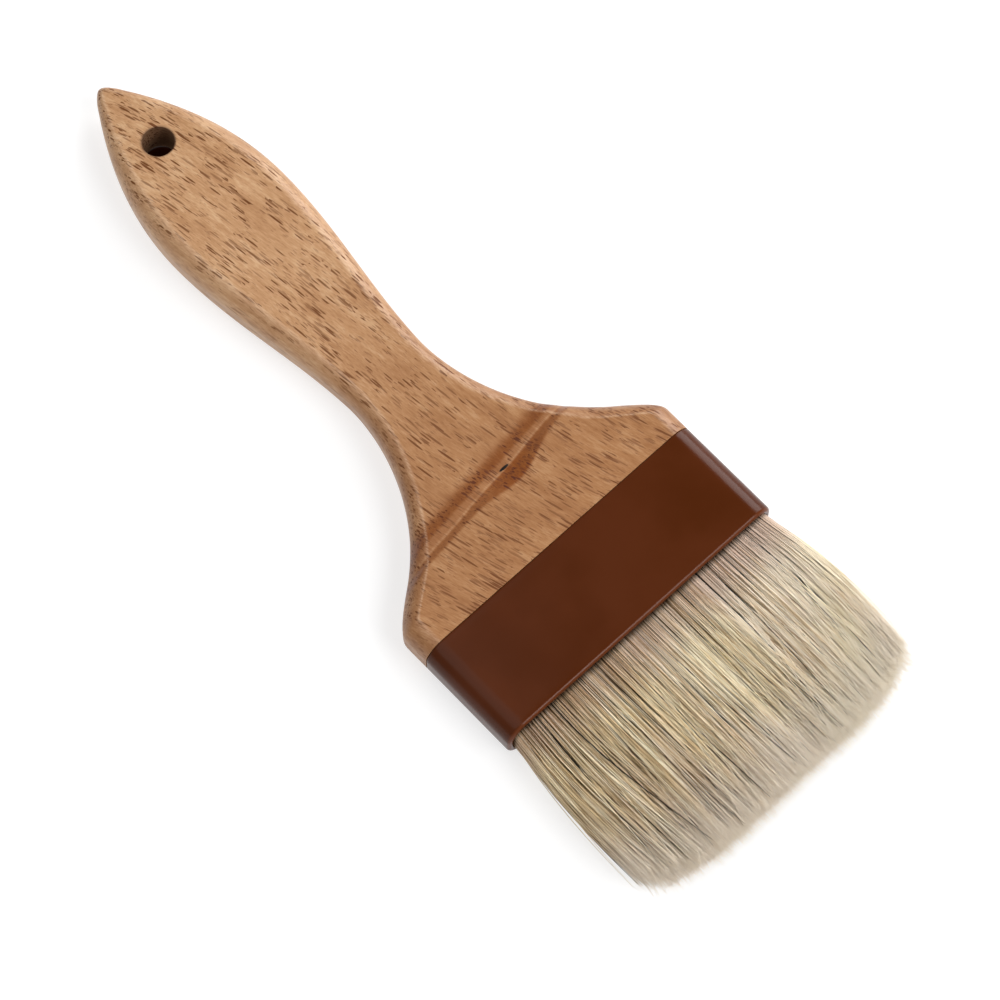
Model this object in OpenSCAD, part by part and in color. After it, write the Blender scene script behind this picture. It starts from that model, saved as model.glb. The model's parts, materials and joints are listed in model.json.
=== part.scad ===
// Flat pastry brush: a hardwood beavertail handle, a moulded plastic ferrule
// bonded over its tenon, and natural bristles set in resin inside the ferrule.
// The brush lies on its back: +Z is the front face, X is the width and +Y runs
// from the bristle tips to the tip of the handle. The origin is the centre of
// the footprint, on the surface that the brush lies on. Units are millimetres.

/* [Ferrule] */
// Width of the ferrule and of the handle's head
ferrule_w = 76.2; // [60:0.1:90]
// Thickness of the ferrule and of the handle's head
ferrule_t = 13; // [12:0.1:16]
// Length of the ferrule along the brush
ferrule_len = 25.4; // [24:0.1:35]
// Outer corner radius of the ferrule
corner_r = 5; // [3:0.1:5.5]
// Wall thickness of the ferrule
wall = 1.7; // [1.2:0.1:2]

/* [Handle] */
// Length of bare wood from the ferrule to the handle's tip
handle_len = 147.3; // [135:0.1:170]
// Half width of the narrow neck
neck_half_w = 10.4; // [8:0.1:14]
// Half thickness of the neck
neck_half_t = 4.8; // [4:0.1:5.4]
// Half width of the belly
belly_half_w = 15.7; // [14:0.1:20]
// Half thickness of the belly
belly_half_t = 6; // [5.5:0.1:6.2]
// Half thickness just behind the tip
tip_half_t = 2.6; // [2:0.1:4]
// Radius of the concave flare between neck and shoulder
flare_r = 51; // [45:0.5:60]
// Radius of the hanging hole
hole_r = 3.65; // [2:0.05:4]
// Distance from the handle's tip to the centre of the hanging hole
hole_from_tip = 20.2; // [18:0.1:30]
// Depth of the tenon inside the ferrule
tenon_len = 9; // [7:0.1:10]

/* [Bristles] */
// Length of bristle outside the ferrule
trim_len = 46.3; // [40:0.1:60]
// Number of separately flexing tufts across the width
tuft_count = 6; // [6]
// Gap between neighbouring tufts
tuft_gap = 0.4; // [0.35:0.05:0.6]
// How far the outer tufts spread sideways by the tip, in degrees
fan_angle = 3.6; // [0:0.1:4]
// Thickness of the bristle bundle at the tip
tip_t = 10; // [8.6:0.1:11]
// Thickness of the strip between the two banks of bristle roots
plug_t = 2.2; // [1.5:0.1:3]

/* [Hidden] */
$fn = 64;

// Stations along the brush
overall_len = handle_len + ferrule_len + trim_len;
tip_y = overall_len / 2;
shoulder_y = tip_y - handle_len;
mouth_y = shoulder_y - ferrule_len;
bristle_end_y = -tip_y;
mid_z = ferrule_t / 2;

// How far a cutter or a hidden joint runs past the face it meets
over = 1;

// Cavity of the ferrule and the film of adhesive round the tenon
cavity_w = ferrule_w - 2 * wall;
cavity_t = ferrule_t - 2 * wall;
cavity_r = corner_r - wall;
lip_r = wall / 2;
film = 0.2;

// Handle outline, as distances above the ferrule
neck_u = 54.8;
swell_u = 49.3;
belly_u = 104.3;
nose_len = 2.5;
nose_overshoot = 1.5;
shoulder_blend = 8;
neck_blend = 0.01;
edge_ratio = 0.77;
edge_limit = 0.95;

// Two-stage cove between the head and the neck, as distances above the ferrule
cove_top_u = 12.3;
cove_ledge_u = 16.8;
cove_step_u = 20.8;
cove_foot_u = 24.3;
ledge_share = 0.5;
ledge_fall = 0.1;

// Resin block that holds the roots
resin_gap = 0.4;
resin_y = shoulder_y - tenon_len - resin_gap;
resin_floor = 2;
resin_len = 6;
bank_face_gap = 0.5;
bank_side_gap = 2.2;
strip_side_gap = 4;
strip_setback = 1;

// Flexing tufts: a round root just outside the mouth, and the bundle beyond it
hinge_y = mouth_y - 1;
root_r = 4.2;
root_clear = 0.4;
tuft_side_gap = 2;
tuft_half_w = cavity_w / 2 - tuft_side_gap;
tuft_tip_r = 2;

// ---- curves -------------------------------------------------------------

// Smooth step from 0 at a to 1 at b
function ease(a, b, u) = (1 - cos(180 * max(0, min(1, (u - a) / (b - a))))) / 2;

// Smaller of two lengths, with a rounded change over k
function soft_min(a, b, k) = min(a, b) - pow(max(0, k - abs(a - b)), 2) / (4 * k);

// Rounding factor of the nose: 1 along the handle, 0 at the very tip
function nose(u) = sqrt(max(0, 1 - pow(max(0, (u - handle_len + nose_len) / nose_len), 2)));

// Concave flare: what an arc of flare_r adds to the neck's half width
function flare(u) = u >= neck_u ? 0 : flare_r - sqrt(pow(flare_r, 2) - pow(neck_u - u, 2));

// Half width u above the ferrule
function half_w(u) = u < belly_u
    ? soft_min(ferrule_w / 2,
               neck_half_w + flare(u) + (belly_half_w - neck_half_w) * ease(swell_u, belly_u, u),
               u > neck_u ? neck_blend : shoulder_blend)
    : belly_half_w * nose(u) * (1 - pow((u - belly_u) / (handle_len + nose_overshoot - belly_u), 2));

// Share of the drop from the head's thickness to the neck's, u above the ferrule
function cove_fall(u) = ledge_share * ease(cove_top_u, cove_ledge_u, u)
    + ledge_fall * ease(cove_ledge_u, cove_step_u, u)
    + (1 - ledge_share - ledge_fall) * ease(cove_step_u, cove_foot_u, u);

// Half thickness u above the ferrule
function half_t(u) = u < swell_u
    ? ferrule_t / 2 - (ferrule_t / 2 - neck_half_t) * cove_fall(u)
    : u < belly_u
    ? neck_half_t + (belly_half_t - neck_half_t) * ease(swell_u, belly_u, u)
    : nose(u) * (belly_half_t - (belly_half_t - tip_half_t) * pow((u - belly_u) / (handle_len - belly_u), 2));

// ---- shared shapes --------------------------------------------------------

// Rounded rectangle, w by t, centred, with true arcs
module rounded_rect(w, t, r) {
    square([w - 2 * r, t], center = true);
    square([w, t - 2 * r], center = true);
    for (sx = [-1, 1], sz = [-1, 1])
        translate([sx * (w / 2 - r), sz * (t / 2 - r)]) circle(r);
}

// Runs an outline drawn in X and Z along Y, from y0 to y1
module along_y(y0, y1) {
    translate([0, y1, mid_z]) rotate([90, 0, 0]) linear_extrude(y1 - y0) children();
}

// Round lip that follows a rounded rectangle, w by t, in the plane at y
module lip_ring(w, t, r, y) {
    translate([0, y, mid_z]) {
        for (s = [-1, 1]) {
            translate([0, 0, s * t / 2]) rotate([0, 90, 0])
                cylinder(h = w - 2 * r, r = lip_r, center = true);
            translate([s * w / 2, 0, 0])
                cylinder(h = t - 2 * r, r = lip_r, center = true);
        }
        for (sx = [0, 1], sz = [0, 1])
            mirror([sx, 0, 0]) mirror([0, 0, sz])
                translate([w / 2 - r, 0, t / 2 - r]) rotate([90, 0, 0])
                    rotate_extrude(angle = 90) translate([r, 0]) circle(lip_r, $fn = 32);
    }
}

// ---- handle ---------------------------------------------------------------

corner_steps = 6;
corner_angles = [for (q = [0:3], i = [0:corner_steps]) [q, q * 90 + i * 90 / corner_steps]];
ring_size = len(corner_angles);

// Section of the handle u above the ferrule: a rounded rectangle
function section(u) =
    let (w = half_w(u), t = half_t(u), r = min(edge_ratio * t, edge_limit * w))
    [for (c = corner_angles)
        let (sx = (c[0] == 0 || c[0] == 3) ? 1 : -1, sz = c[0] < 2 ? 1 : -1)
        [sx * (w - r) + r * cos(c[1]), shoulder_y + u, mid_z + sz * (t - r) + r * sin(c[1])]];

// Stations: close together over the shoulders, the cove and the nose
head_stations = [for (u = [0:0.8:26]) u];
neck_stations = [for (u = [28:2.5:60]) u];
belly_stations = [for (u = [63:4:handle_len - nose_len - 6]) u];
throat_stations = [for (back = [4, 2, 0]) handle_len - nose_len - back];
nose_stations = [for (a = [20:14:76]) handle_len - nose_len * (1 - sin(a))];
last_station = handle_len - nose_len * (1 - sin(86));
stations = concat(head_stations, neck_stations, belly_stations, throat_stations,
                  nose_stations, last_station);

module handle_blank() {
    rings = len(stations);
    polyhedron(
        points = [for (u = stations) each section(u)],
        faces = concat(
            [[for (i = [0:ring_size - 1]) ring_size - 1 - i]],
            [[for (i = [0:ring_size - 1]) (rings - 1) * ring_size + i]],
            [for (k = [0:rings - 2], i = [0:ring_size - 1])
                let (a = k * ring_size + i, b = k * ring_size + (i + 1) % ring_size)
                each [[a, b, a + ring_size], [b, b + ring_size, a + ring_size]]]));
}

module handle() {
    color("burlywood") difference() {
        union() {
            handle_blank();
            along_y(shoulder_y - tenon_len, shoulder_y + over)
                rounded_rect(cavity_w - 2 * film, cavity_t - 2 * film, cavity_r - film);
        }
        translate([0, tip_y - hole_from_tip, -over])
            cylinder(h = ferrule_t + 2 * over, r = hole_r);
    }
}

// ---- ferrule and what it holds --------------------------------------------

module ferrule() {
    color("saddlebrown") {
        along_y(mouth_y + lip_r, shoulder_y) difference() {
            rounded_rect(ferrule_w, ferrule_t, corner_r);
            rounded_rect(cavity_w, cavity_t, cavity_r);
        }
        lip_ring(ferrule_w - wall, ferrule_t - wall, corner_r - lip_r, mouth_y + lip_r);
    }
}

module ferrule_adhesive() {
    color("khaki") along_y(shoulder_y - tenon_len, shoulder_y) difference() {
        rounded_rect(cavity_w, cavity_t, cavity_r);
        rounded_rect(cavity_w - 2 * film, cavity_t - 2 * film, cavity_r - film);
    }
}

// Width and thickness of a bank of roots, and where it starts and ends
bank_w = cavity_w - 2 * bank_side_gap;
bank_t = (cavity_t - plug_t) / 2 - bank_face_gap;
bank_y0 = hinge_y + root_r + root_clear;
bank_y1 = resin_y - resin_floor;

// One bank of roots, from y0 to y1, on the front (side 1) or the back (side -1)
module root_bank(side, y0, y1) {
    translate([-bank_w / 2, y0, mid_z + side * (plug_t + bank_t) / 2 - bank_t / 2])
        cube([bank_w, y1 - y0, bank_t]);
}

module strip(y0, y1) {
    strip_w = cavity_w - 2 * strip_side_gap;
    translate([-strip_w / 2, y0, mid_z - plug_t / 2]) cube([strip_w, y1 - y0, plug_t]);
}

module setting_resin() {
    color("goldenrod") difference() {
        along_y(resin_y - resin_len, resin_y) rounded_rect(cavity_w, cavity_t, cavity_r);
        for (side = [-1, 1]) root_bank(side, resin_y - resin_len - over, bank_y1);
        strip(resin_y - resin_len - over, bank_y1);
    }
}

module spacer_strip() {
    color("tan") strip(bank_y0 + strip_setback, bank_y1);
}

module front_bristle_roots() {
    color("wheat") root_bank(1, bank_y0, bank_y1);
}

module back_bristle_roots() {
    color("wheat") root_bank(-1, bank_y0, bank_y1);
}

// ---- flexing tufts ----------------------------------------------------------

// Where a line between tufts lies across the width, from -1 to 1, moved by half a gap
function tuft_edge(line, side, y) =
    let (share = 2 * line / tuft_count - 1,
         spread = max(0, hinge_y - y) * tan(fan_angle * share),
         gap = abs(share) == 1 ? 0 : side * tuft_gap / 2)
    share * tuft_half_w + spread + gap;

// Plan of tuft i: straight through the root, then fanned to the tip
module tuft_plan(i) {
    back_y = hinge_y + root_r + over;
    polygon([[tuft_edge(i - 1, 1, hinge_y), back_y],
             [tuft_edge(i - 1, 1, hinge_y), hinge_y],
             [tuft_edge(i - 1, 1, bristle_end_y), bristle_end_y - over],
             [tuft_edge(i, -1, bristle_end_y), bristle_end_y - over],
             [tuft_edge(i, -1, hinge_y), hinge_y],
             [tuft_edge(i, -1, hinge_y), back_y]]);
}

// Side view of a tuft, drawn with the hinge at the origin and the tip towards +X
module tuft_profile() {
    reach = hinge_y - bristle_end_y;
    circle(root_r);
    polygon([[0, -root_r], [reach - tuft_tip_r, -tip_t / 2], [reach, tuft_tip_r - tip_t / 2],
             [reach, tip_t / 2 - tuft_tip_r], [reach - tuft_tip_r, tip_t / 2], [0, root_r]]);
}

module tuft(i) {
    color("cornsilk") intersection() {
        linear_extrude(ferrule_t) tuft_plan(i);
        translate([-ferrule_w, hinge_y, mid_z]) rotate([90, 0, 90])
            linear_extrude(2 * ferrule_w) mirror([1, 0]) tuft_profile();
    }
}

handle();
ferrule();
ferrule_adhesive();
setting_resin();
spacer_strip();
front_bristle_roots();
back_bristle_roots();
tuft(1);  // bristle_tuft_1
tuft(2);  // bristle_tuft_2
tuft(3);  // bristle_tuft_3
tuft(4);  // bristle_tuft_4
tuft(5);  // bristle_tuft_5
tuft(6);  // bristle_tuft_6
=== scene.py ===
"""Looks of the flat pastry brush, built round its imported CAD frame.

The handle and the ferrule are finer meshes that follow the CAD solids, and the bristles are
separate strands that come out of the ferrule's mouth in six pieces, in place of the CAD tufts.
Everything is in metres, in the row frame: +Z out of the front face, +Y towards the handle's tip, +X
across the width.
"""
import json
import math

import bpy
import numpy as np
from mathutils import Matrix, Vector, noise


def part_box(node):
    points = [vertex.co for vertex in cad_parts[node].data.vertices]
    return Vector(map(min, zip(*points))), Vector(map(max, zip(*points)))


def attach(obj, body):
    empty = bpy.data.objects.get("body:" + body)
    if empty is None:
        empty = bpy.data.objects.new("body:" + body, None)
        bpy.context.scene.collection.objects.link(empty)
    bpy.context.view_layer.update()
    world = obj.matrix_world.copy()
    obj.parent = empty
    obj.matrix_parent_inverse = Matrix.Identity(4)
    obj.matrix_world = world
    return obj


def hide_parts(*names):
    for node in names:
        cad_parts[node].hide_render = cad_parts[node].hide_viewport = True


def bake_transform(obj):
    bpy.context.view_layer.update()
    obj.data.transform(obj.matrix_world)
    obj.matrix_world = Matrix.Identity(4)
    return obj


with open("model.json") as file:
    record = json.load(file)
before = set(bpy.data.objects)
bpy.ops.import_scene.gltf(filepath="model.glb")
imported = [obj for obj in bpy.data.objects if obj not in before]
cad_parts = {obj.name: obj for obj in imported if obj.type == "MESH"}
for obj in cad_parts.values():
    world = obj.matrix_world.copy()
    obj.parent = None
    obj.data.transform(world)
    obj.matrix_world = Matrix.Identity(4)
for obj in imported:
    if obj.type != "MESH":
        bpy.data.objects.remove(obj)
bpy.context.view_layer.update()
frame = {"nodes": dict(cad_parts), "record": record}

MM = 0.001
BODY = "brush_body"
TUFTS = 6

# ---- places read from the frame -----------------------------------------------------

ferrule_low, ferrule_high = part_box("ferrule")
cavity_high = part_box("ferrule_adhesive")[1]
shoulder_y = ferrule_high.y      # the ferrule's upper edge, where the handle comes out
mouth_y = ferrule_low.y          # its lower edge, where the bristles come out
mid_z = (ferrule_low.z + ferrule_high.z) / 2
ferrule_half_w = ferrule_high.x
ferrule_half_t = ferrule_high.z - mid_z
cavity_half_w = cavity_high.x
cavity_half_t = cavity_high.z - mid_z
wall = ferrule_half_w - cavity_half_w
bristle_end_y = min(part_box(f"bristle_tuft_{i + 1}")[0].y for i in range(TUFTS))

hang_hole = next(m for m in frame["record"]["mounts"] if m["name"] == "hang_hole")
hole_x, hole_y, _ = hang_hole["pos_m"]
hole_r = hang_hole["dims"]["r_mm"] * MM
hole_half_length = hang_hole["dims"]["length_mm"] * MM / 2


def node_points(name):
    """The CAD node's vertices as an array."""
    return np.array([v.co for v in frame["nodes"][name].data.vertices], float)


def flat_edge(points):
    """How far the flat front face reaches to the side, on a rounded outline."""
    front = points[points[:, 2] > points[:, 2].max() - 0.01 * MM]
    return np.abs(front[:, 0]).max()


corner_r = ferrule_half_w - flat_edge(node_points("ferrule"))

# ---- mesh helpers -------------------------------------------------------------------


def make_object(name, points, faces, material, smooth_angle=40):
    """A mesh object from points and faces, with one material, smooth except at sharp edges."""
    mesh = bpy.data.meshes.new(name)
    mesh.from_pydata([tuple(p) for p in points], [], [tuple(f) for f in faces])
    mesh.update()
    mesh.shade_smooth()
    mesh.set_sharp_from_angle(angle=math.radians(smooth_angle))
    return link_mesh(name, mesh, material)


def link_mesh(name, mesh, material):
    """An object in the scene that shows the mesh, with one material."""
    mesh.materials.append(material)
    obj = bpy.data.objects.new(name, mesh)
    bpy.context.scene.collection.objects.link(obj)
    return obj


def set_vertex_values(mesh, name, values):
    """Keeps a list of arrays as one number on each vertex, for a material to read."""
    attribute = mesh.attributes.new(name, "FLOAT", "POINT")
    attribute.data.foreach_set("value", np.concatenate(values).astype(np.float32))


def skin(rings, size, close_rings=False):
    """Quads between neighbouring rings of points, each ring closed on itself."""
    steps = rings if close_rings else rings - 1
    return [(k * size + i, k * size + (i + 1) % size,
             (k + 1) % rings * size + (i + 1) % size, (k + 1) % rings * size + i)
            for k in range(steps) for i in range(size)]


def end_caps(rings, size):
    """One face over the first ring of a skin, and one over the last."""
    first = tuple(range(size))[::-1]
    last = tuple(range((rings - 1) * size, rings * size))
    return [first, last]


def smooth_through(x, xs, ys):
    """A cubic curve through (xs, ys), with each slope taken from the neighbouring points."""
    slope = np.gradient(ys, xs)
    k = np.clip(np.searchsorted(xs, x) - 1, 0, len(xs) - 2)
    h = xs[k + 1] - xs[k]
    t = (x - xs[k]) / h
    return ((2 * t**3 - 3 * t**2 + 1) * ys[k] + (t**3 - 2 * t**2 + t) * h * slope[k]
            + (3 * t**2 - 2 * t**3) * ys[k + 1] + (t**3 - t**2) * h * slope[k + 1])


def ease(a, b, t):
    """A smooth step from 0 at a to 1 at b."""
    share = np.clip((t - a) / (b - a), 0, 1)
    return (1 - np.cos(math.pi * share)) / 2


# ---- material helpers ---------------------------------------------------------------


def srgb(red, green, blue):
    """A display colour, 0 to 255, as the linear colour a shader takes."""
    return tuple((c / 255 / 12.92) if c <= 10 else ((c / 255 + 0.055) / 1.055) ** 2.4
                 for c in (red, green, blue)) + (1.0,)


class Shader:
    """A material's node tree. Most calls add a node and give back its output."""

    def __init__(self, name):
        self.material = bpy.data.materials.new(name)
        self.material.use_nodes = True
        self.tree = self.material.node_tree
        self.surface = self.tree.nodes["Principled BSDF"]

    def put(self, socket, value):
        """Links an output to the socket, or sets a constant on it."""
        if isinstance(value, bpy.types.NodeSocket):
            self.tree.links.new(value, socket)
        else:
            socket.default_value = value

    def set(self, name, value):
        """Sets one input of the surface."""
        self.put(self.surface.inputs[name], value)

    def node(self, kind, inputs=(), output=0, **settings):
        """Adds a node with these inputs and settings, and gives back one of its outputs."""
        made = self.tree.nodes.new(kind)
        for key, value in settings.items():
            setattr(made, key, value)
        for key, value in dict(inputs).items():
            self.put(made.inputs[key], value)
        return made.outputs[output]

    def math(self, operation, a, b=0.0):
        return self.node("ShaderNodeMath", {0: a, 1: b}, operation=operation)

    def add(self, a, b):
        return self.math("ADD", a, b)

    def times(self, a, b):
        return self.math("MULTIPLY", a, b)

    def vector(self, operation, a, b):
        return self.node("ShaderNodeVectorMath", {0: a, 1: b}, operation=operation)

    def length(self, a):
        return self.node("ShaderNodeVectorMath", {0: a}, output="Value", operation="LENGTH")

    def axes(self, vector):
        """The x, y and z of a vector."""
        split = self.tree.nodes.new("ShaderNodeSeparateXYZ")
        self.put(split.inputs[0], vector)
        return tuple(split.outputs)

    def span(self, value, low, high, to_low=0.0, to_high=1.0):
        """value between low and high, moved smoothly to the range to_low to to_high."""
        return self.node("ShaderNodeMapRange",
                         {"Value": value, "From Min": low, "From Max": high,
                          "To Min": to_low, "To Max": to_high},
                         interpolation_type="SMOOTHSTEP")

    def mix(self, share, first, second, blend="MIX"):
        """first where share is 0 and second where it is 1, or second blended over first."""
        made = self.tree.nodes.new("ShaderNodeMix")
        made.data_type = "RGBA"
        made.blend_type = blend
        self.put(made.inputs[0], share)
        self.put(made.inputs[6], first)
        self.put(made.inputs[7], second)
        return made.outputs[2]

    def ramp(self, value, stops):
        """A colour between stops, each a place from 0 to 1 and a colour."""
        made = self.tree.nodes.new("ShaderNodeValToRGB")
        while len(made.color_ramp.elements) < len(stops):
            made.color_ramp.elements.new(0.5)
        for element, (place, colour) in zip(made.color_ramp.elements, stops):
            element.position = place
            element.color = colour
        self.put(made.inputs[0], value)
        return made.outputs[0]

    def here(self):
        """The point in the row frame."""
        return self.node("ShaderNodeTexCoord", output="Object")

    def scaled(self, scale, move=(0, 0, 0)):
        """The point in the row frame, scaled and moved, for a texture."""
        return self.node("ShaderNodeMapping",
                         {"Vector": self.here(), "Scale": scale, "Location": move})

    def attribute(self, name):
        """A number kept on each vertex of the mesh."""
        return self.node("ShaderNodeAttribute", output="Fac", attribute_name=name)

    def noise(self, vector, detail=3.0, roughness=0.5):
        """Noise with cells one unit of the vector wide."""
        return self.node("ShaderNodeTexNoise",
                         {"Vector": vector, "Scale": 1.0, "Detail": detail,
                          "Roughness": roughness})

    def bump(self, height, distance, strength=1.0, under=None):
        """The normal of a surface with this relief, laid over the relief under it."""
        inputs = {"Height": height, "Distance": distance, "Strength": strength}
        if under is not None:
            inputs["Normal"] = under
        return self.node("ShaderNodeBump", inputs)


# ---- wood ---------------------------------------------------------------------------

GRAIN_STRAIGHT_Y = 17 * MM   # where the grain lies closest to the handle's axis
GRAIN_SLOPE = 0.09           # how far it runs to the side there, per unit of length
GRAIN_CURVE_TIP = 8.6        # how fast that slope grows towards the tip
GRAIN_CURVE_HEAD = 27.0      # and towards the head
GRAIN_WANDER = 2.4 * MM      # how far it strays from that curve

HEAD_TINT_START_Y = 64 * MM  # the wood darkens from here down
HEAD_TINT_FULL_UP = 12 * MM  # to here, above the ferrule

PIT_X = 2.6 * MM             # a short open fissure in the ledge of the cove, on the front, painted near black as its shade
PIT_UP = 19.5 * MM           # above the ferrule
PIT_HALF_SIZE = (1.35 * MM, 0.34 * MM, 4 * MM)

HOLE_SHADE_REACH = 0.12 * MM       # how far the hole's painted shade reaches past its wall


def grain_coordinates(s):
    """Coordinates that run straight along the grain: across it, along it, and through it."""
    x, y, z = s.axes(s.here())
    along = s.math("SUBTRACT", y, GRAIN_STRAIGHT_Y)
    tip = s.math("POWER", s.math("MAXIMUM", along, 0.0), 3.0)
    head = s.math("POWER", s.math("MAXIMUM", s.times(along, -1.0), 0.0), 3.0)
    across = s.add(x, s.times(along, GRAIN_SLOPE))
    across = s.add(across, s.times(tip, GRAIN_CURVE_TIP))
    across = s.math("SUBTRACT", across, s.times(head, GRAIN_CURVE_HEAD))
    wander = s.noise(s.scaled((55, 22, 55)), detail=1.0)
    across = s.add(across, s.times(wander, GRAIN_WANDER))
    return s.node("ShaderNodeCombineXYZ", {"X": across, "Y": y, "Z": z})


def stretched(s, grain, across, along, move=(0, 0, 0)):
    """Grain coordinates in units of a cell that is across wide and along long."""
    return s.node("ShaderNodeMapping", {"Vector": grain, "Location": move,
                                        "Scale": (1 / across, 1 / along, 1 / across)})


def pore_layer(s, grain, width, length, reach, move, share):
    """Dark dashes where open vessels meet the surface: 1 in a dash, 0 between them.

    Each cell of the given width and length holds at most one dash, and reach is how far the
    dash's end lies from the cell's centre, as a share of the cell.
    """
    cell = s.tree.nodes.new("ShaderNodeTexVoronoi")
    cell.inputs["Scale"].default_value = 1.0
    s.put(cell.inputs["Vector"], stretched(s, grain, width, length, move))
    dash = s.span(cell.outputs["Distance"], reach + 0.05, reach - 0.05)
    chance = s.tree.nodes.new("ShaderNodeSeparateColor")
    s.put(chance.inputs[0], cell.outputs["Color"])
    kept = s.math("GREATER_THAN", s.add(chance.outputs[0], share), 1.0)
    depth = s.span(chance.outputs[1], 0.0, 1.0, 0.45, 1.0)
    return s.times(s.times(dash, kept), depth)


def wood_pores(s, grain):
    """Pores of four sizes, in patches, and fainter where the handle's side cuts the grain."""
    patch = s.noise(stretched(s, grain, 3.4 * MM, 8 * MM, (8, 2, 5)), detail=2.0)
    patch = s.span(patch, 0.40, 0.60, 0.12, 0.95)
    bold = pore_layer(s, grain, 0.72 * MM, 7.2 * MM, 0.33, (0, 0, 0), patch)
    other = pore_layer(s, grain, 0.6 * MM, 5.2 * MM, 0.31, (13, 17, 2), patch)
    medium = pore_layer(s, grain, 0.44 * MM, 3.2 * MM, 0.28, (31, 7, 12), patch)
    flecks = pore_layer(s, grain, 0.28 * MM, 1.6 * MM, 0.24, (5, 43, 71), 0.5)
    pores = s.math("MAXIMUM", s.math("MAXIMUM", bold, other), s.times(medium, 0.65))
    pores = s.math("MAXIMUM", pores, s.times(flecks, 0.4))
    normal_x = s.axes(s.node("ShaderNodeTexCoord", output="Normal"))[0]
    sideways = s.span(s.math("ABSOLUTE", normal_x), 0.45, 0.85)
    return s.times(pores, s.span(sideways, 0.0, 1.0, 1.0, 0.45))


def wood_ground(s, grain, fibre):
    """The tan between the pores, in streaks and clouds, a little darker in the head."""
    streak = s.noise(stretched(s, grain, 1.6 * MM, 16 * MM))
    cloud = s.noise(stretched(s, grain, 5 * MM, 9 * MM, (3, 9, 1)), detail=2.0)
    tone = s.times(streak, 0.26)
    tone = s.add(tone, s.times(fibre, 0.46))
    tone = s.add(tone, s.times(cloud, 0.28))
    ground = s.ramp(s.span(tone, 0.36, 0.64),
                    [(0.0, srgb(170, 125, 86)), (0.35, srgb(183, 139, 99)),
                     (0.7, srgb(192, 149, 109)), (1.0, srgb(204, 166, 128))])
    y = s.axes(s.here())[1]
    in_head = s.span(y, HEAD_TINT_START_Y, shoulder_y + HEAD_TINT_FULL_UP)
    return s.mix(in_head, ground, srgb(219, 202, 184), blend="MULTIPLY")


def spot(s, centre, half_size):
    """1 inside an ellipsoid about centre, 0 outside it. A half size of 0 leaves that axis out."""
    offset = s.vector("SUBTRACT", s.here(), centre)
    scale = tuple(1 / half if half else 0 for half in half_size)
    return s.span(s.length(s.vector("MULTIPLY", offset, scale)), 1.15, 0.85)


def handle_wood():
    """Open-pored tan hardwood: streaked ground, dark dashes, stain and painted shade in the cove.
    """
    s = Shader("handle_wood")
    grain = grain_coordinates(s)
    fibre = s.noise(stretched(s, grain, 0.3 * MM, 2.2 * MM), roughness=0.65)
    pores = wood_pores(s, grain)
    colour = s.mix(pores, wood_ground(s, grain, fibre), srgb(104, 55, 10))
    # Stain and painted shade in the cove darken the wood towards orange brown
    colour = s.mix(s.attribute("stain_and_shade"), colour, srgb(200, 156, 92), blend="MULTIPLY")
    # Rubbed lines along the edge's crease and the cove's ridge: paler wear that also stands for
    # painted highlights there
    rubbed_and_highlit = s.times(s.attribute("worn_and_highlit"), s.span(fibre, 0.35, 0.65, 0.05, 0.33))
    colour = s.mix(rubbed_and_highlit, colour, srgb(226, 194, 164))
    # Painted shade: the open fissure is a near black spot, and no hole is cut
    pit_shade = spot(s, (PIT_X, shoulder_y + PIT_UP, mid_z + ferrule_half_t), PIT_HALF_SIZE)
    colour = s.mix(pit_shade, colour, srgb(14, 7, 4))
    # Painted shade: the hanging hole's wall and a thin ring round it are near black brown, as its
    # shadow; that end grain is also rougher
    bore_shade_r = hole_r + HOLE_SHADE_REACH
    bore_shade_and_end_grain = spot(s, (hole_x, hole_y, 0), (bore_shade_r, bore_shade_r, 0))
    s.set("Base Color", s.mix(bore_shade_and_end_grain, colour, srgb(50, 18, 5)))
    rough = s.add(s.span(fibre, 0.3, 0.7, 0.3, 0.42), s.times(pores, 0.3))
    s.set("Roughness", s.add(rough, s.times(bore_shade_and_end_grain, 0.5)))
    s.set("Specular IOR Level", 0.38)
    relief = s.math("SUBTRACT", s.times(fibre, 0.3), pores)
    s.set("Normal", s.bump(relief, 0.03 * MM, 0.4))
    return s.material


# ---- the other materials ------------------------------------------------------------


def ferrule_plastic():
    """Dark brown moulded plastic with a faint flow mottle, fine texture and a paler lip, a painted
    highlight.
    """
    s = Shader("ferrule_plastic")
    mottle = s.noise(s.scaled((60, 60, 60)))
    brown = s.ramp(s.span(mottle, 0.3, 0.7),
                   [(0.0, srgb(73, 32, 9)), (1.0, srgb(80, 36, 12))])
    y = s.axes(s.here())[1]
    # Painted highlight: a paler brown band along the mouth's rounded lip
    lip = s.span(y, mouth_y + 0.9 * MM, mouth_y + 0.3 * MM)
    s.set("Base Color", s.mix(lip, brown, srgb(96, 48, 22)))
    s.set("Specular IOR Level", 0.15)
    s.set("Roughness", s.span(mottle, 0.3, 0.7, 0.2, 0.27))
    swell = s.noise(s.scaled((38, 55, 38)), detail=1.0)
    texture = s.noise(s.scaled((2600, 2600, 2600)), detail=2.0)
    s.set("Normal", s.bump(texture, 0.01 * MM, 0.03, s.bump(swell, 0.4 * MM, 0.25)))
    return s.material


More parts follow.
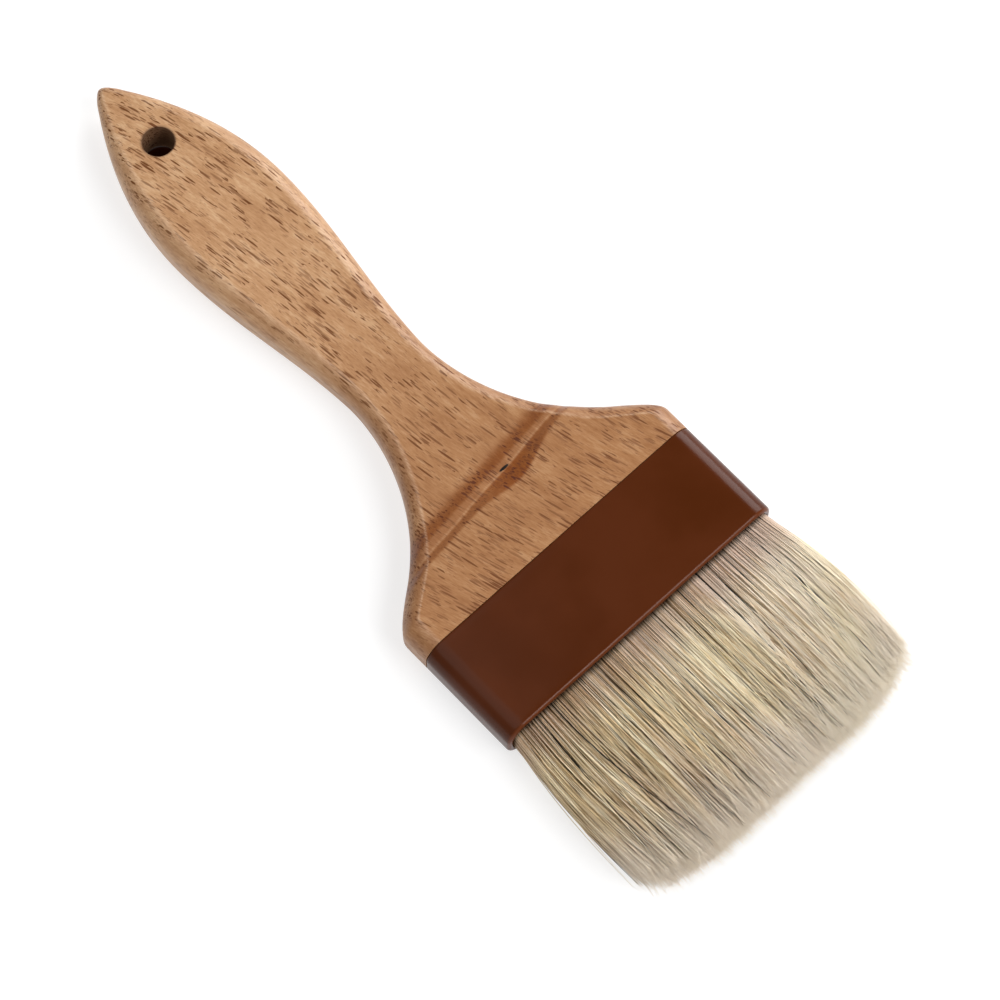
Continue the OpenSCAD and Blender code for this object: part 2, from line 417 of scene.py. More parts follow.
def bristle_hair():
    """Natural bristle: cream strands of mixed tone, a few near black, pale flagged tips, painted
    shade at the roots.

    along runs from 0 at a strand's root to 1 at its tip.
    """
    s = Shader("bristle_hair")
    along = s.attribute("along")
    mottle = s.noise(s.scaled((700, 120, 700)), detail=2.0)
    shade = s.add(s.attribute("tone"), s.span(mottle, 0.3, 0.7, -0.12, 0.12))
    cream = s.ramp(shade, [(0.0, srgb(98, 74, 50)), (0.2, srgb(172, 145, 112)),
                           (0.5, srgb(230, 211, 180)), (0.78, srgb(246, 234, 211)),
                           (1.0, srgb(254, 250, 240))])
    lot = s.span(s.noise(s.scaled((110, 22, 110), move=(4, 1, 7)), detail=2.0), 0.38, 0.62)
    hue = s.mix(lot, srgb(255, 249, 231), srgb(255, 247, 236))
    cream = s.mix(1.0, cream, hue, blend="MULTIPLY")
    # Painted shade: strands darken towards the ferrule's mouth, as its shadow falls there
    root_shade = s.span(along, 0.32, 0.08)
    cream = s.mix(root_shade, cream, srgb(222, 209, 208), blend="MULTIPLY")
    near_tip = s.span(along, 0.6, 1.0, 0.0, 0.62)
    cream = s.mix(near_tip, cream, srgb(252, 244, 232))
    # Painted shade: strands are dark brown inside the ferrule, fading out over about 2.5 mm below
    # its mouth
    past_mouth_shade = s.span(along, 0.048, 0.085)
    cream = s.mix(past_mouth_shade, srgb(92, 66, 42), cream)
    s.set("Base Color", s.mix(s.attribute("dark"), cream, srgb(20, 11, 6)))
    s.set("Specular IOR Level", 0.28)
    s.set("Roughness", s.span(mottle, 0.3, 0.7, 0.38, 0.5))
    return s.material


def set_glue(name, pale, deep):
    """Cured glue or resin: a cloudy, slightly uneven, half-gloss solid."""
    s = Shader(name)
    cloud = s.noise(s.scaled((320, 320, 320)))
    fine = s.noise(s.scaled((1500, 1500, 1500)), detail=2.0)
    s.set("Base Color", s.ramp(s.span(cloud, 0.3, 0.7), [(0.0, deep), (1.0, pale)]))
    s.set("Roughness", s.span(fine, 0.3, 0.7, 0.3, 0.5))
    s.set("Normal", s.bump(s.add(cloud, s.times(fine, 0.3)), 0.1 * MM, 0.5))
    return s.material


def packed_roots():
    """The bristles' root ends, packed side by side in one block."""
    s = Shader("packed_roots")
    strand = s.noise(s.scaled((4200, 90, 4200)), detail=2.0)
    s.set("Base Color", s.ramp(s.span(strand, 0.35, 0.65),
                               [(0.0, srgb(96, 68, 42)), (0.5, srgb(186, 152, 106)),
                                (1.0, srgb(226, 204, 166))]))
    s.set("Roughness", s.span(strand, 0.3, 0.7, 0.6, 0.4))
    s.set("Normal", s.bump(strand, 0.15 * MM, 0.8))
    return s.material


def fibre_strip():
    """The plain wooden strip between the two banks of roots."""
    s = Shader("fibre_strip")
    fibre = s.noise(s.scaled((90, 1500, 1500)), detail=4.0, roughness=0.6)
    s.set("Base Color", s.ramp(s.span(fibre, 0.3, 0.7),
                               [(0.0, srgb(176, 138, 96)), (1.0, srgb(214, 184, 142))]))
    s.set("Roughness", s.span(fibre, 0.3, 0.7, 0.7, 0.55))
    s.set("Normal", s.bump(fibre, 0.08 * MM, 0.6))
    return s.material


# ---- handle -------------------------------------------------------------------------

EDGE_RATIO = 0.77            # edge radius over half thickness, as the CAD handle has
EDGE_SQUEEZE = 0.8           # how far the edge reaches across the face, over its radius
EDGE_LIMIT = 0.95            # the edge's radius and reach stay below this share of the half width
EDGE_TILT = math.radians(13)     # how steeply the edge leaves the flat face
CREASE = 0.4 * MM            # how far the crease between them is eased, on each side
CREASE_WEAR_AND_HIGHLIGHT = ((0, 0.35), (0.25, 0.8), (0.5, 1), (0.75, 0.8), (1, 0.35))  # how rubbed, with a painted highlight, across it
CREASE_LIMIT = 0.4           # and never more than this share of the face or the edge
CREASE_CLEAR = 1.6           # the flat face's own points start this many eases inside it
FLAT_STEPS = 22              # steps across half of the flat face
CORNER_STEPS = 12            # steps round the edge
SIDE_STEPS = 3               # steps up the straight part of the side

RING_MIN = 24                # fewest vertices in a whole ring of the CAD handle
HANDLE_STEP = 0.5 * MM       # how far apart the rings of the skin lie
COVE_STEP = 0.22 * MM        # and how far in the cove
NOSE_LENGTH = 2.6 * MM       # the rounded end of the tip
NOSE_RINGS = 14
NOSE_STRAIGHTEN = 10 * MM    # over this length below the nose the edge isn't widened
SANDING_DEPTH = 0.09 * MM    # how uneven the hand-sanded surface is
SANDING_SCALE = 90           # how many of its swells there are to a metre
SANDING_FADE = 4 * MM        # it grows from nothing at the ferrule over this length

# The cove between the head and the neck: a lower step, a ridge and an upper step. Distances
# up are above the ferrule at the middle of the width
COVE_START_UP = 9 * MM       # the handle's edge thins from here
COVE_END_UP = 27 * MM        # to here, where the cove ends
RIDGE_UP = 19.0 * MM
RIDGE_SLANT = 0.14           # how much higher the ridge lies, per unit to the side
RIDGE_WAVE = 0.1 * MM        # how far it wavers
RIDGE_WAVE_LENGTH = 2.9 * MM
RIDGE_HALF = 0.25 * MM       # how far its rubbed, highlit line spreads, on each side
RIDGE_WORN_AND_HIGHLIGHT = 0.24            # how rubbed it is, with a painted highlight
RIDGE_REACH = 0.8            # how far its rubbed, highlit line reaches to the side, over the half width
LENS_X = 4 * MM              # the middle of the lower step's longer, lens-shaped part
LENS_HALF = 9 * MM           # how far the lens reaches to each side
LOWER_RUN = 2.0 * MM         # how far below the ridge the lower step starts
LENS_RUN = 2.6 * MM          # and how much further in the lens
LOWER_SHARE = 0.38           # the lower step's share of the whole drop
LENS_SHARE = 0.3             # and how much more it is in the lens
UPPER_UP = 21.7 * MM         # the middle of the upper step
UPPER_SLANT = 0.12           # how much higher that lies, per unit to the side
UPPER_START = -1.6 * MM      # where that step starts and ends, from its middle
UPPER_END = 2.4 * MM
LOWER_STAIN_AND_SHADE = 0.65           # how much gathered stain and painted shade lie on the lower step
LENS_STAIN_AND_SHADE = 0.35            # and how much more in the lens
LEDGE_STAIN_AND_SHADE = 0.4            # on the ledge above the ridge
UPPER_STAIN_AND_SHADE = 0.85           # and on the upper step


def cove(x, u):
    """The two slanting steps down from the head to the neck, u above the ferrule.

    Gives the share of the whole drop, how much stain and painted shade lie there, and how rubbed
    and highlit it is.
    """
    lens = np.exp(-((x - LENS_X) / LENS_HALF) ** 2)
    wave = RIDGE_WAVE * np.sin(x / RIDGE_WAVE_LENGTH)
    above_ridge = u - RIDGE_UP - RIDGE_SLANT * x + wave
    above_upper = u - UPPER_UP - UPPER_SLANT * x
    foot = -(LOWER_RUN + LENS_RUN * lens)
    lower = ease(foot, -0.1 * MM, above_ridge)
    upper = ease(UPPER_START, UPPER_END, above_upper)
    lower_share = LOWER_SHARE + LENS_SHARE * lens
    drop = lower_share * lower + (1 - lower_share) * upper

    # Stain gathered in the cove, and painted shade where its steps face away from the light; less
    # on the ridge
    on_lower = ease(foot - 0.3 * MM, foot + 0.6 * MM, above_ridge)
    wedge = on_lower * (LOWER_STAIN_AND_SHADE + LENS_STAIN_AND_SHADE * lens)
    wedge *= ease(0.1 * MM, -0.4 * MM, above_ridge)
    ledge = LEDGE_STAIN_AND_SHADE * ease(-0.3 * MM, 0.3 * MM, above_ridge)
    step = UPPER_STAIN_AND_SHADE * ease(-2.2 * MM, -0.4 * MM, above_upper)
    hollow = np.maximum(ledge, step) * ease(3.6 * MM, 0.2 * MM, above_upper)
    ridge = np.exp(-((above_ridge - 0.1 * MM) / RIDGE_HALF) ** 2)
    stain_and_shade = np.maximum(wedge, hollow) * (1 - 0.6 * ridge)
    return drop, stain_and_shade, ridge


def handle_profile():
    """Distance along Y, half width and half thickness at each whole ring of the CAD handle."""
    points = node_points("handle")
    points = points[points[:, 1] > shoulder_y - 0.01 * MM]
    found = []
    for y in np.unique(np.round(points[:, 1], 6)):
        ring = points[np.abs(points[:, 1] - y) < 0.002 * MM]
        if len(ring) >= RING_MIN:
            found.append((y, np.abs(ring[:, 0]).max(), np.abs(ring[:, 2] - mid_z).max()))
    return np.array(found)


def handle_section(half_w, half_t, lean):
    """One ring of the handle: x, z and how rubbed and highlit the point is, all round.

    The flat face meets the rounded edge at a soft crease. The edge is rounded square to the
    outline, so it is wider here where the outline leans.
    """
    r = min(EDGE_RATIO * half_t, EDGE_LIMIT * half_w)
    across = min(EDGE_SQUEEZE * r * lean, EDGE_LIMIT * half_w)
    flat = half_w - across
    side = half_t - r
    soft = min(CREASE, CREASE_LIMIT * flat, CREASE_LIMIT * across)
    tilt_sine = math.sin(EDGE_TILT)

    def edge(sine):
        return (flat + across * (sine - tilt_sine) / (1 - tilt_sine),
                side + r * math.sqrt(max(0, 1 - sine * sine)) / math.cos(EDGE_TILT))

    crease_sine = tilt_sine + soft * (1 - tilt_sine) / across
    start = math.asin(crease_sine)
    quarter = [(half_w, side * k / SIDE_STEPS, 0) for k in range(SIDE_STEPS)]
    for k in range(CORNER_STEPS):
        angle = math.pi / 2 + (start - math.pi / 2) * k / CORNER_STEPS
        quarter.append(edge(math.sin(angle)) + (0,))
    first = np.array(edge(crease_sine))
    middle = np.array((flat, half_t))
    last = np.array((flat - soft, half_t))
    for t, worn_and_highlit in CREASE_WEAR_AND_HIGHLIGHT:
        x, z = (1 - t) ** 2 * first + 2 * t * (1 - t) * middle + t * t * last
        quarter.append((x, z, worn_and_highlit))
    inner = flat - CREASE_CLEAR * soft
    quarter += [(inner * (1 - k / FLAT_STEPS), half_t, 0) for k in range(FLAT_STEPS)]
    half = quarter + [(-x, z, worn_and_highlit) for x, z, worn_and_highlit in [(0, half_t, 0)] + quarter[:0:-1]]
    return np.array(half + [(-x, -z, worn_and_highlit) for x, z, worn_and_highlit in half])


def handle():
    """The handle's skin above the ferrule, with its cove, its wear and painted highlights, and its
    hanging hole.
    """
    ys, profile_w, profile_t = handle_profile().T
    nose_y = ys[-1] - NOSE_LENGTH
    cove_start = shoulder_y + COVE_START_UP
    cove_end = shoulder_y + COVE_END_UP
    stations = np.concatenate([
        np.arange(ys[0], cove_start, HANDLE_STEP),
        np.arange(cove_start, cove_end, COVE_STEP),
        np.arange(cove_end, nose_y, HANDLE_STEP),
        nose_y + (ys[-1] - nose_y) * np.sin(np.linspace(0, math.pi / 2, NOSE_RINGS))])
    half_ws = smooth_through(stations, ys, profile_w)
    half_ts = smooth_through(stations, ys, profile_t)
    head_t = half_ts[0]
    neck_t = np.interp(cove_end, stations, half_ts)
    leans = np.hypot(1, np.gradient(half_ws, stations)) * (stations < nose_y - NOSE_STRAIGHTEN)
    rings, stains_and_shade, rubbed_and_highlit = [], [], []
    for y, half_w, half_t, lean in zip(stations, half_ws, half_ts, np.maximum(leans, 1)):
        u = y - shoulder_y
        in_cove = y < cove_end
        edge_t = head_t + (neck_t - head_t) * ease(COVE_START_UP, COVE_END_UP, u)
        ring = handle_section(half_w, edge_t if in_cove else half_t, lean)
        drop, stain_and_shade, ridge = cove(ring[:, 0], u)
        if in_cove:
            ring[:, 1] *= (head_t + (neck_t - head_t) * drop) / edge_t
        ridge *= np.abs(ring[:, 0]) < RIDGE_REACH * half_w
        sanding = np.array([noise.noise(Vector((x, y, z)) * SANDING_SCALE) for x, z, _ in ring])
        ring[:, 1] *= 1 + SANDING_DEPTH * sanding * min(1, u / SANDING_FADE) / half_t
        rings.append(np.column_stack([ring[:, 0], np.full(len(ring), y), mid_z + ring[:, 1]]))
        stains_and_shade.append(stain_and_shade * in_cove)
        # How rubbed each point is, with the painted highlight along the ridge
        rubbed_and_highlit.append(np.maximum(ring[:, 2], RIDGE_WORN_AND_HIGHLIGHT * ridge * in_cove))
    size = len(rings[0])
    faces = skin(len(rings), size) + end_caps(len(rings), size)
    obj = make_object("handle_body", np.concatenate(rings), [f[::-1] for f in faces], handle_wood())
    # For the material: stain and painted shade in the cove, and rubbed lines that carry painted
    # highlights
    set_vertex_values(obj.data, "stain_and_shade", stains_and_shade)
    set_vertex_values(obj.data, "worn_and_highlit", rubbed_and_highlit)
    bore(obj)
    return obj


def bore(obj):
    """Cuts the hanging hole, with its rims eased over."""
    rim_ease = 0.1 * MM
    flare = 2 * MM           # how far past the handle's faces the cutter widens
    turns = 64
    outline = [(-hole_half_length - flare, flare + rim_ease), (-hole_half_length + rim_ease, 0),
               (hole_half_length - rim_ease, 0), (hole_half_length + flare, flare + rim_ease)]
    points = [(hole_x + (hole_r + out) * math.cos(2 * math.pi * i / turns),
               hole_y + (hole_r + out) * math.sin(2 * math.pi * i / turns), mid_z + z)
              for z, out in outline for i in range(turns)]
    faces = skin(len(outline), turns) + end_caps(len(outline), turns)
    cutter = make_object("hole_cutter", points, faces, obj.data.materials[0])
    cut = obj.modifiers.new("hole", "BOOLEAN")
    cut.operation = "DIFFERENCE"
    cut.solver = "EXACT"
    cut.object = cutter
    bpy.context.view_layer.update()
    shown = obj.evaluated_get(bpy.context.evaluated_depsgraph_get())
    mesh = bpy.data.meshes.new_from_object(shown)
    obj.modifiers.clear()
    obj.data = mesh
    mesh.shade_smooth()
    mesh.set_sharp_from_angle(angle=math.radians(30))
    bpy.data.objects.remove(cutter)


# ---- ferrule ------------------------------------------------------------------------

TOP_EASE = 0.4 * MM          # the radius of the upper outside edge
LEAD_IN = 0.2 * MM           # how much wider the sleeve opens at its top, inside
FACE_MARGIN = 2 * MM         # how far from its ends the wall's straight faces have rings
CORNER_TURNS = 16            # steps round each corner of the sleeve


def wall_outline():
    """The wall's section, from its top edge down outside, round the lip and up inside.

    Each point is how far in from the outer face it lies, and its place along Y.
    """
    lip = wall / 2
    outline = [(TOP_EASE * (1 - math.sin(a)), shoulder_y - TOP_EASE * (1 - math.cos(a)))
               for a in np.linspace(0, math.pi / 2, 6)]
    outline += [(0, y) for y in np.linspace(shoulder_y - FACE_MARGIN, mouth_y + FACE_MARGIN, 8)]
    outline += [(lip * (1 - math.cos(a)), mouth_y + lip * (1 - math.sin(a)))
                for a in np.linspace(0, math.pi, 13)]
    inside_top = shoulder_y - FACE_MARGIN / 2
    outline += [(wall, y) for y in np.linspace(mouth_y + FACE_MARGIN, inside_top, 6)]
    return outline + [(wall - LEAD_IN, shoulder_y)]


def ferrule():
    """The moulded sleeve: its wall's section carried round a rectangle with round corners."""
    outline = wall_outline()
    path = []
    for quarter, (sign_x, sign_z) in enumerate(((1, 1), (-1, 1), (-1, -1), (1, -1))):
        centre = (sign_x * (ferrule_half_w - corner_r), sign_z * (ferrule_half_t - corner_r))
        for k in range(CORNER_TURNS + 1):
            a = math.pi / 2 * (quarter + k / CORNER_TURNS)
            path.append((centre, (math.cos(a), math.sin(a))))
    points = [(c[0] + (corner_r - inset) * n[0], y, mid_z + c[1] + (corner_r - inset) * n[1])
              for c, n in path for inset, y in outline]
    faces = skin(len(path), len(outline), close_rings=True)
    return make_object("ferrule_shell", points, faces, ferrule_plastic(), 50)


# ---- bristles -----------------------------------------------------------------------

STRANDS = 13000
RINGS = 9                    # rings of vertices along a strand
CLUMPS = 420                 # the strands gather into this many loose clumps
ROOT_DEPTH = 3.4 * MM        # how far inside the mouth the strands start

# The whole bundle
BANK_CORNER = 3 * MM         # how round its corners are at the mouth
BANK_GAP_W = 0.25 * MM       # between it and the ferrule's inside
BANK_GAP_T = 0.2 * MM
TRIM_RIGHT = 6.2 * MM        # how much shorter it is trimmed at its sides
TRIM_LEFT = 7.4 * MM
TRIM_FACES = 0.7 * MM        # and at its faces
BULGE_RIGHT = 2.5 * MM       # how far it swells to its sides
BULGE_LEFT = 1.9 * MM
BULGE_FACES = 0.75 * MM      # and to its faces
SPLAY = 0.5 * MM             # how far its tips spread to the sides
REST_GAP = 0.4 * MM          # how far strands stay above the CAD's back, at their centres
FLAG_REST_GAP = 0.35 * MM    # and how far split ends do

# How strands differ. Spreads are standard deviations
GATHER = 0.22                # the most that a strand moves to its clump's middle, as a share
CLUMP_LEAN_X = 0.9 * MM      # how far tips lean, by clump and by strand
CLUMP_LEAN_Z = 0.25 * MM
STRAND_LEAN_X = 1.1 * MM
STRAND_LEAN_Z = 0.45 * MM
LOOSE_SHARE = 0.25           # the share of strands that lean further
LOOSE_LEAN_X = 3.4 * MM
LOOSE_LEAN_Z = 0.5 * MM
WILD_SHARE = 0.04            # and the share of those that lean furthest, out of all strands
WILD_LEAN_X = 6.5 * MM
EDGE_X = 0.1 * MM            # how far past the bundle's side a tip may lean
EDGE_SPREAD = 1.1 * MM
WAVE = 0.28 * MM             # how far a strand waves from its line
WAVE_TURN_X = 4.4            # how far the wave turns over the free length, in radians
WAVE_TURN_Z = 4.1
TRIM_SPREAD = 0.9 * MM       # how uneven the ends are, by strand and by clump
CLUMP_TRIM_SPREAD = 0.35 * MM
RADIUS = 0.096 * MM          # a strand's radius at its root
RADIUS_SPREAD = 0.016 * MM
RADIUS_LIMITS = (0.06 * MM, 0.14 * MM)
DARK_SHARE = 0.007           # the share of strands that are near black, all of them near a face
DARK_THICKER = 0.5           # how much thicker those are
TONE = 0.85                  # from 0, brown, to 1, cream
TONE_SPREAD = 0.28
CLUMP_TONE_SPREAD = 0.07
TONE_BURIED_SHADE = 0.14           # painted shade: how much darker strands are in the bundle's middle
TONE_SIDE_LIGHT = 0.32            # painted light: how much paler they are to the right, and darker to the left
TONE_LIMITS = (0.02, 1.1)

# The split ends
FLAGS = 2                    # on each strand
FLAG_RINGS = 4
FLAG_START = 0.9             # how far along the strand a split end's colour starts
FLAG_SPREAD = 0.42 * MM      # how far it stands off from the strand
FLAG_RADIUS = 0.75           # its radius, over the radius of the strand's tip
FLAG_TAPER = 0.75            # how much of that is lost at the end
FLAG_PALER = 0.25            # how much more tone it has than the strand
FLAG_DARK = 0.4              # how much of a dark strand's darkness it has


def pulled_in(offset, half, pull):
    """One coordinate, moved towards the centre of its corner's circle where pull is below 1."""
    out = np.abs(offset)
    core = half - BANK_CORNER
    return np.sign(offset) * np.where(pull < 1, core + pull * (out - core), out)


def root_places(random, half_w, half_t):
    """Where each strand leaves the ferrule, from its middle, and which strands are dark."""
    x = random.uniform(-half_w, half_w, STRANDS)
    z = random.uniform(-half_t, half_t, STRANDS)
    corner = np.hypot(np.maximum(0, np.abs(x) - half_w + BANK_CORNER),
                      np.maximum(0, np.abs(z) - half_t + BANK_CORNER))
    pull = np.where(corner > BANK_CORNER, BANK_CORNER / np.maximum(corner, 1e-9), 1.0)
    x = pulled_in(x, half_w, pull)
    z = pulled_in(z, half_t, pull)
    dark = (random.random(STRANDS) < DARK_SHARE).astype(float)
    z = np.where(dark > 0, np.copysign(half_t - np.abs(z) * 0.2, z), z)
    return x, z, dark


def strand_paths(random):
    """Centre lines, radii, tones, dark marks and root x of all strands, as arrays."""
    half_w = cavity_half_w - BANK_GAP_W
    half_t = cavity_half_t - BANK_GAP_T
    x0, z0, dark = root_places(random, half_w, half_t)

    clump_x = random.uniform(-half_w, half_w, CLUMPS)
    clump_z = random.uniform(-half_t, half_t, CLUMPS)
    clump = np.argmin((x0[:, None] - clump_x) ** 2 + (z0[:, None] - clump_z) ** 2, axis=1)
    gather = random.uniform(0.0, GATHER, CLUMPS)[clump]
    lean_x = random.normal(0, CLUMP_LEAN_X, CLUMPS)[clump]
    lean_x += random.normal(0, STRAND_LEAN_X, STRANDS)
    lean_z = random.normal(0, CLUMP_LEAN_Z, CLUMPS)[clump]
    lean_z += random.normal(0, STRAND_LEAN_Z, STRANDS)
    stray = random.random(STRANDS)
    wild = stray < WILD_SHARE
    loose = stray < LOOSE_SHARE
    stray_lean_x = np.select([wild, loose], [WILD_LEAN_X, LOOSE_LEAN_X], 0)
    lean_x += random.normal(0, 1.0, STRANDS) * stray_lean_x
    lean_z += random.normal(0, LOOSE_LEAN_Z, STRANDS) * loose
    wave_x, wave_z = random.normal(0, WAVE, (2, STRANDS, 1))
    phase_x, phase_z = random.uniform(0, 2 * math.pi, (2, STRANDS, 1))

    # How far each strand reaches, and how far along the free length each of its rings is
    free = mouth_y - bristle_end_y
    aside = x0 / half_w
    level = z0 / half_t
    trim = np.where(aside > 0, TRIM_RIGHT, TRIM_LEFT) * np.abs(aside) ** 6
    trim += TRIM_FACES * level ** 2
    tip = (free - trim - np.abs(random.normal(0, TRIM_SPREAD, STRANDS))
           + random.normal(0, CLUMP_TRIM_SPREAD, CLUMPS)[clump])
    t = np.linspace(0, 1, RINGS) ** 0.9
    y = mouth_y + ROOT_DEPTH - t * (tip + ROOT_DEPTH)[:, None]
    reach = np.clip((mouth_y - y) / free, 0, 1.1)
    curl = reach ** 1.6

    # Sideways and through the bundle: its swell, then the strand's own lean and wave
    bulge = np.where(aside > 0, BULGE_RIGHT, BULGE_LEFT) * aside ** 3
    sideways = (clump_x[clump] - x0) * gather + lean_x + SPLAY * aside
    edge_x = half_w + EDGE_X + np.abs(random.normal(0, EDGE_SPREAD, STRANDS))
    sideways = np.clip(x0 + sideways, -edge_x, edge_x) - x0
    x = (x0[:, None] + bulge[:, None] * np.sin(math.pi * np.minimum(reach, 1) ** 0.8)
         + sideways[:, None] * curl
         + wave_x * np.sin(WAVE_TURN_X * reach + phase_x) * reach)
    outwards = (clump_z[clump] - z0) * gather + lean_z
    z = (z0[:, None] + BULGE_FACES * level[:, None] * np.sin(math.pi * 0.75 * reach)
         + outwards[:, None] * curl
         + wave_z * np.sin(WAVE_TURN_Z * reach + phase_z) * reach)
    z = np.maximum(mid_z + z, REST_GAP)

    radius = np.clip(random.normal(RADIUS, RADIUS_SPREAD, STRANDS), *RADIUS_LIMITS)
    radius *= 1 + DARK_THICKER * dark
    taper = 1 - 0.5 * t ** 2 - 0.28 * t ** 12
    # Painted shade and light: strands darker deep in the bundle, paler to the right and darker to
    # the left
    buried_shade = np.clip((1 - np.maximum(np.abs(level), np.abs(aside) ** 8)) / 0.5, 0, 1)
    tone = random.normal(TONE, TONE_SPREAD, STRANDS)
    tone += random.normal(0, CLUMP_TONE_SPREAD, CLUMPS)[clump]
    tone = np.clip(tone - TONE_BURIED_SHADE * buried_shade + TONE_SIDE_LIGHT * aside, *TONE_LIMITS)
    return np.stack([x, y, z], axis=2), radius[:, None] * taper, tone, dark, x0


def flag_paths(random, centres, radii, tone, dark):
    """One fine split end for each strand, which leaves it near its tip."""
    count = len(centres)
    last_step = centres[:, -1] - centres[:, -2]
    base = centres[:, -2] + last_step * random.uniform(0, 0.7, (count, 1))
    spread = random.normal(0, FLAG_SPREAD, (count, 3)) * (1, 0.4, 0.8)
    length = random.uniform(0.5, 1.0, (count, 1))
    along = np.linspace(0, 1, FLAG_RINGS)
    t = along[None, :, None]
    paths = base[:, None] + (last_step * length)[:, None] * t + spread[:, None] * t ** 1.5
    paths[:, :, 2] = np.maximum(paths[:, :, 2], FLAG_REST_GAP)
    radius = radii[:, -1:] * FLAG_RADIUS * (1 - FLAG_TAPER * along)
    return paths, radius, np.clip(tone + FLAG_PALER, 0, 1), dark * FLAG_DARK


def tube_mesh(paths, radii):
    """Three-sided tapered tubes along the paths: vertices and quads as arrays."""
    count, rings, _ = paths.shape
    tangent = np.gradient(paths, axis=1)
    tangent /= np.linalg.norm(tangent, axis=2, keepdims=True)
    side = np.cross(tangent, (0.0, 0.0, 1.0))
    side /= np.linalg.norm(side, axis=2, keepdims=True)
    up = np.cross(side, tangent)
    points = np.stack([paths + radii[:, :, None] * (side * math.cos(a) + up * math.sin(a))
                       for a in (math.pi / 2, math.pi * 7 / 6, math.pi * 11 / 6)], axis=2)
    ring = np.arange(count * rings).reshape(count, rings)[:, :-1].reshape(-1, 1) * 3
    corner = np.arange(3)
    after = (corner + 1) % 3
    quads = np.stack([ring + corner, ring + 3 + corner, ring + 3 + after, ring + after], axis=2)
    return points.reshape(-1, 3), quads.reshape(-1, 4)


def strand_object(name, parts, material):
    """One mesh of many strands. Each part is paths, radii, tone, dark, start and end of along."""
    points, quads, tones, darks, alongs = [], [], [], [], []
    start = 0
    for paths, radii, tone, dark, first, last in parts:
        count, rings, _ = paths.shape
        part_points, part_quads = tube_mesh(paths, radii)
        points.append(part_points)
        quads.append(part_quads + start)
        tones.append(np.repeat(tone, rings * 3))
        darks.append(np.repeat(dark, rings * 3))
        alongs.append(np.tile(np.repeat(np.linspace(first, last, rings), 3), count))
        start += len(part_points)
    points = np.concatenate(points)
    quads = np.concatenate(quads)
    mesh = bpy.data.meshes.new(name)
    mesh.vertices.add(len(points))
    mesh.vertices.foreach_set("co", points.astype(np.float32).ravel())
    mesh.loops.add(quads.size)
    mesh.loops.foreach_set("vertex_index", quads.astype(np.int32).ravel())
    mesh.polygons.add(len(quads))
    mesh.polygons.foreach_set("loop_start", np.arange(0, quads.size, 4, dtype=np.int32))
    set_vertex_values(mesh, "tone", tones)
    set_vertex_values(mesh, "dark", darks)
    set_vertex_values(mesh, "along", alongs)
    mesh.update(calc_edges=True)
    mesh.validate()
    mesh.shade_smooth()
    return link_mesh(name, mesh, material)


def bristles():
    """Strands in six side-by-side pieces, each in place of its own tuft."""
    random = np.random.default_rng(7)
    centres, radii, tone, dark, x0 = strand_paths(random)
    flags = [flag_paths(random, centres, radii, tone, dark) for _ in range(FLAGS)]
    material = bristle_hair()
    share_across = (x0 + cavity_half_w) / (2 * cavity_half_w)
    tuft_of = np.clip((share_across * TUFTS).astype(int), 0, TUFTS - 1)
    for i in range(TUFTS):
        mine = tuft_of == i
        parts = [(centres[mine], radii[mine], tone[mine], dark[mine], 0.0, 1.0)]
        parts += [tuple(values[mine] for values in flag) + (FLAG_START, 1.0) for flag in flags]
        obj = strand_object(f"bristles_{i + 1}", parts, material)
        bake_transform(obj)
        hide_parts(f"bristle_tuft_{i + 1}")


# ---- stage --------------------------------------------------------------------------

# The photograph's viewpoint: direction, distance and the point that the camera is aimed at
VIEW_AZIMUTH = math.radians(-43.2)
VIEW_ELEVATION = math.radians(69.2)
VIEW_DISTANCE = 0.886
VIEW_AIM = Vector((-0.002, -0.022, 0.008))
LENS_MM = 150.2
SENSOR_MM = 36

FLOOR_HALF = 4.0
FLOOR_PALE = (0.4, 0.4, 0.4, 1)
FLOOR_GLOW = 0.68
FLOOR_SHADOW_R = 4 * MM        # painted shadow: the floor is dark this far out from the hole's axis
FLOOR_LIT_R = 8 * MM         # and as pale as elsewhere from here

WALL_TONE = (0.3, 0.3, 0.31, 1)
CEILING_TONE = (0.03, 0.03, 0.03, 1)
WALL_TOP = 0.6               # the Z of a unit direction where the walls' tone ends
CEILING_START = 0.8          # and where the ceiling's tone starts


def look_at(obj, place, aim):
    """Puts a camera or a light at a place, turned towards aim."""
    obj.location = place
    obj.rotation_euler = (Vector(aim) - Vector(place)).to_track_quat("-Z", "Y").to_euler()


def camera():
    """The camera at the photograph's viewpoint."""
    data = bpy.data.cameras.new("camera")
    data.lens = LENS_MM
    data.sensor_width = SENSOR_MM
    data.clip_start = 0.01
    obj = bpy.data.objects.new("camera", data)
    bpy.context.scene.collection.objects.link(obj)
    away = Vector((math.cos(VIEW_ELEVATION) * math.sin(VIEW_AZIMUTH),
                   -math.cos(VIEW_ELEVATION) * math.cos(VIEW_AZIMUTH),
                   math.sin(VIEW_ELEVATION)))
    look_at(obj, VIEW_AIM + away * VIEW_DISTANCE, VIEW_AIM)
    bpy.context.scene.camera = obj


def soft_light(name, place, size, power):
    """A square studio light of this size in metres and power in watts, aimed at the brush."""
    data = bpy.data.lights.new(name, "AREA")
    data.shape = "SQUARE"
    data.size = size
    data.energy = power
    obj = bpy.data.objects.new(name, data)
    bpy.context.scene.collection.objects.link(obj)
    look_at(obj, place, (0, 0, 0))


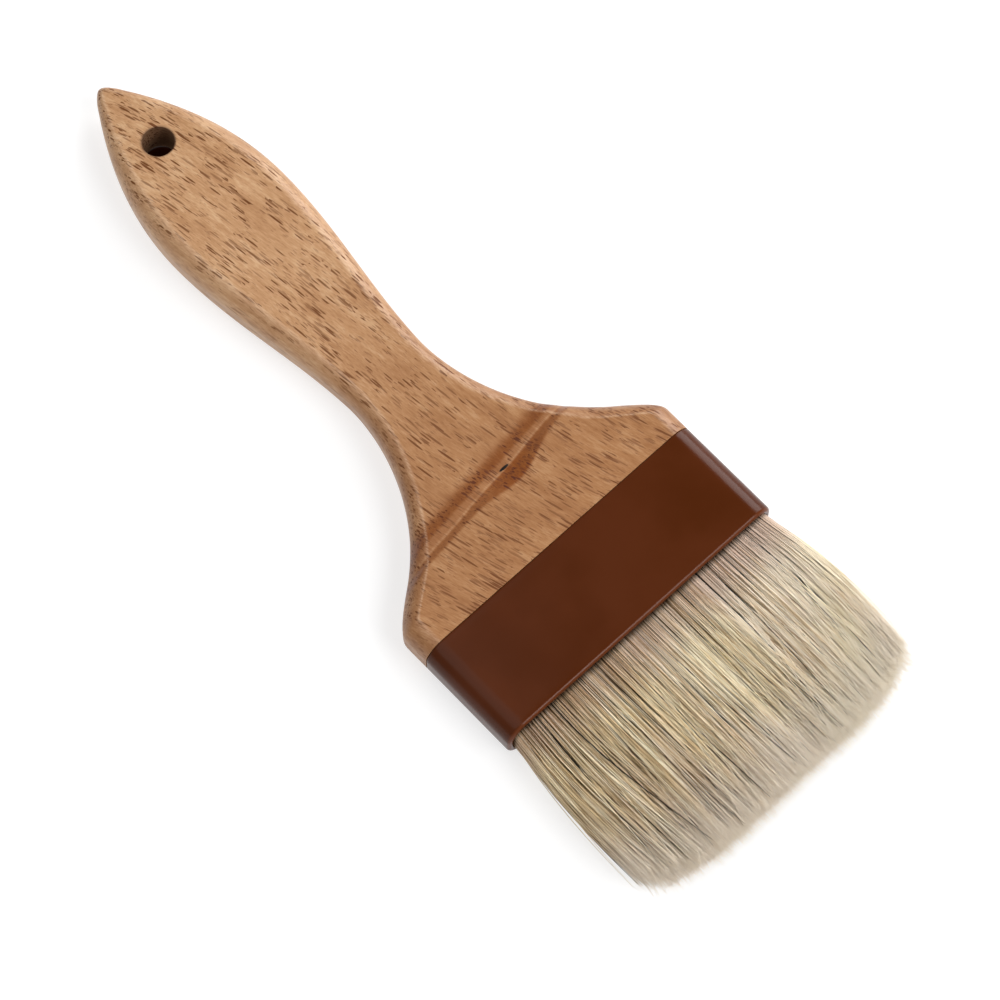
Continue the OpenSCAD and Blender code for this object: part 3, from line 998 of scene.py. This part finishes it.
def floor():
    """A pale floor that glows, as a light table does, so that shadows stay faint.

    It fades to a painted shadow under the hanging hole, dark brown and without glow, so that the
    hole looks deep.
    """
    s = Shader("stage_floor")
    away = s.length(s.vector("SUBTRACT", s.here(), (hole_x, hole_y, 0)))
    # Painted shadow under the hanging hole: dark brown and without glow near its axis, pale and
    # glowing further out
    lit = s.span(away, FLOOR_SHADOW_R, FLOOR_LIT_R)
    s.set("Base Color", s.mix(lit, srgb(44, 16, 5), FLOOR_PALE))
    s.set("Roughness", 0.9)
    s.set("Specular IOR Level", 0.0)
    s.set("Emission Color", (1, 1, 1, 1))
    s.set("Emission Strength", s.times(lit, FLOOR_GLOW))
    points = [(-FLOOR_HALF, -FLOOR_HALF, 0), (FLOOR_HALF, -FLOOR_HALF, 0),
              (FLOOR_HALF, FLOOR_HALF, 0), (-FLOOR_HALF, FLOOR_HALF, 0)]
    make_object("stage_floor", points, [(0, 1, 2, 3)], s.material)


def studio_walls():
    """Pale walls round a dark ceiling, so that the flat faces reflect nothing bright."""
    world = bpy.data.worlds.new("world")
    bpy.context.scene.world = world
    world.use_nodes = True
    tree = world.node_tree
    place = tree.nodes.new("ShaderNodeTexCoord")
    split = tree.nodes.new("ShaderNodeSeparateXYZ")
    ramp = tree.nodes.new("ShaderNodeValToRGB")
    walls, ceiling = ramp.color_ramp.elements
    walls.position = WALL_TOP
    walls.color = WALL_TONE
    ceiling.position = CEILING_START
    ceiling.color = CEILING_TONE
    tree.links.new(place.outputs["Generated"], split.inputs[0])
    tree.links.new(split.outputs["Z"], ramp.inputs[0])
    tree.links.new(ramp.outputs[0], tree.nodes["Background"].inputs["Color"])


def lights():
    """Three soft studio lights, the walls' own light, and plain display colours."""
    soft_light("key_right", (0.97, 0.25, 0.49), 0.74, 10)
    soft_light("front", (0.24, -0.68, 0.84), 0.6, 8.5)
    soft_light("top_left", (-0.36, 0.28, 1.0), 1.0, 3.8)
    studio_walls()
    bpy.context.scene.view_settings.view_transform = "Standard"


camera()
floor()
lights()

body = handle()
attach(body, BODY)
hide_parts("handle")

shell = ferrule()
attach(shell, BODY)
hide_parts("ferrule")

bristles()

for name, material in (
        ("ferrule_adhesive", set_glue("set_adhesive", srgb(214, 190, 140), srgb(186, 152, 98))),
        ("setting_resin", set_glue("set_resin", srgb(176, 120, 62), srgb(132, 82, 36))),
        ("spacer_strip", fibre_strip()),
        ("front_bristle_roots", packed_roots()),
        ("back_bristle_roots", packed_roots())):
    frame["nodes"][name].data.materials.clear()
    frame["nodes"][name].data.materials.append(material)
